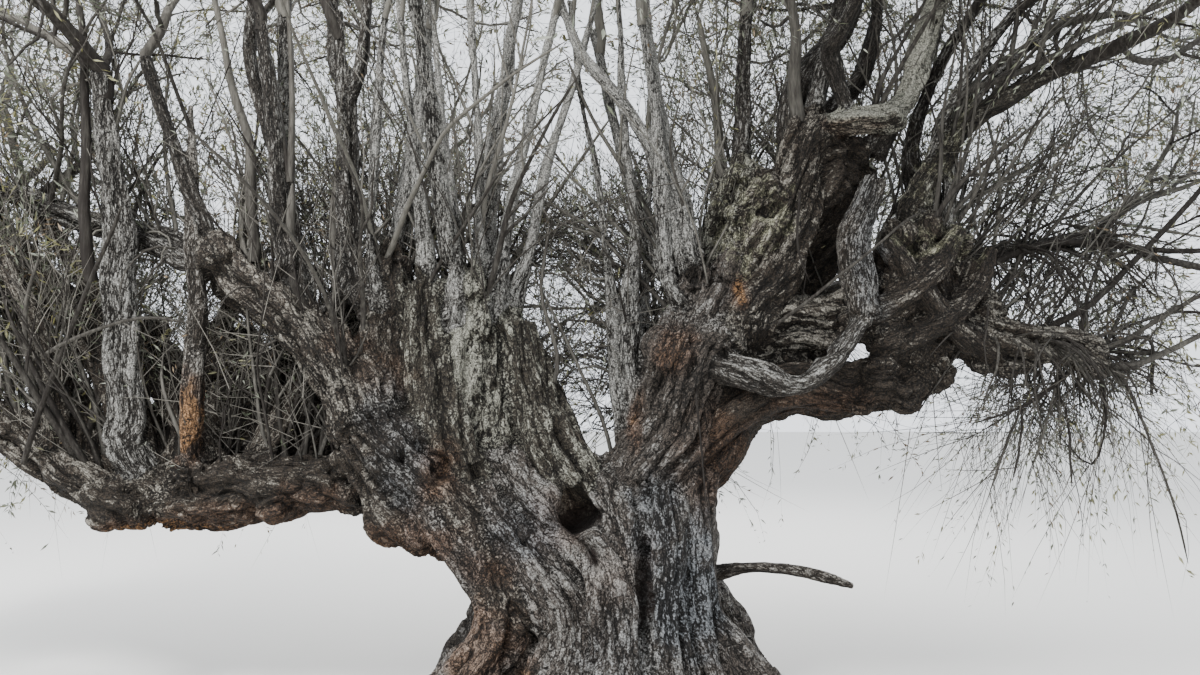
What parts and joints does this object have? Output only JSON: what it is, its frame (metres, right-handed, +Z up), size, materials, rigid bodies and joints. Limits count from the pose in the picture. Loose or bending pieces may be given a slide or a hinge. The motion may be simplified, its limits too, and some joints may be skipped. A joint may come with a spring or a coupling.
{
  "type": "olive tree",
  "caption": "Ancient olive tree: short broad twin trunk with a root flare, crooked heavy boughs and an open grey-green crown, cut flat at the ground.",
  "frame": {"origin": "on the level ground under the middle of the trunk's foot, at the mount ground", "axes": "+Z up, +X to the tree's right side in the picture's view, -Y towards the viewer"},
  "size_m": [8.794, 7.3236, 5.5087],
  "materials": {
    "trunk_bark": "rough fibrous grey-brown bark with rusty and blue-grey weathered patches",
    "bough_bark": "rough twisted dark grey-brown bark with deep grooves",
    "stem_bark": "matt grey bark with fine cracks",
    "lichened_bark": "matt bark under pale grey-green and yellow-green lichen",
    "dead_wood": "bare weathered wood, silver grey to orange-brown",
    "foliage": "small leathery leaves, grey-green above and silvery below, on thin grey twigs"
  },
  "bodies": {
    "root": {"back_bough_left": "bough_bark", "back_bough_middle": "bough_bark", "back_bough_right": "bough_bark", "foliage_low_back": "foliage", "foliage_low_back_left": "foliage", "foliage_low_back_right": "foliage", "foliage_outer_left": "foliage", "foliage_outer_right": "foliage", "foliage_shoulder_1": "foliage", "foliage_shoulder_2": "foliage", "foliage_shoulder_3": "foliage", "foliage_shoulder_4": "foliage", "foliage_shoulder_5": "foliage", "foliage_shoulder_6": "foliage", "foliage_skirt_1": "foliage", "foliage_skirt_2": "foliage", "foliage_skirt_3": "foliage", "foliage_skirt_4": "foliage", "foliage_skirt_5": "foliage", "foliage_skirt_6": "foliage", "foliage_skirt_7": "foliage", "foliage_top_1": "foliage", "foliage_top_2": "foliage", "foliage_top_3": "foliage", "foliage_weeping_right": "foliage", "front_bough_right": "stem_bark", "gap_stem_left": "stem_bark", "gap_stem_right": "stem_bark", "left_arm_inner": "bough_bark", "left_arm_outer": "bough_bark", "left_bough_lower": "bough_bark", "left_bough_reach": "stem_bark", "left_bough_upper": "bough_bark", "left_head": "bough_bark", "left_stem_behind": "stem_bark", "left_stem_inner": "stem_bark", "left_stem_pale": "stem_bark", "left_stem_tall": "stem_bark", "left_stub_broken": "dead_wood", "middle_head": "lichened_bark", "middle_stem_front": "stem_bark", "middle_stem_left": "stem_bark", "middle_stem_right": "stem_bark", "mossy_knob": "lichened_bark", "right_bough": "bough_bark", "right_core": "bough_bark", "right_hub": "bough_bark", "right_hugging_limb": "stem_bark", "right_loop": "lichened_bark", "right_reach": "bough_bark", "right_reach_upper": "stem_bark", "right_stem": "trunk_bark", "right_stem_dark": "stem_bark", "right_stem_straight": "stem_bark", "right_strand_low": "lichened_bark", "right_stump_pale": "dead_wood", "right_twist": "bough_bark", "trunk": "trunk_bark"}
  },
  "joints": []
}
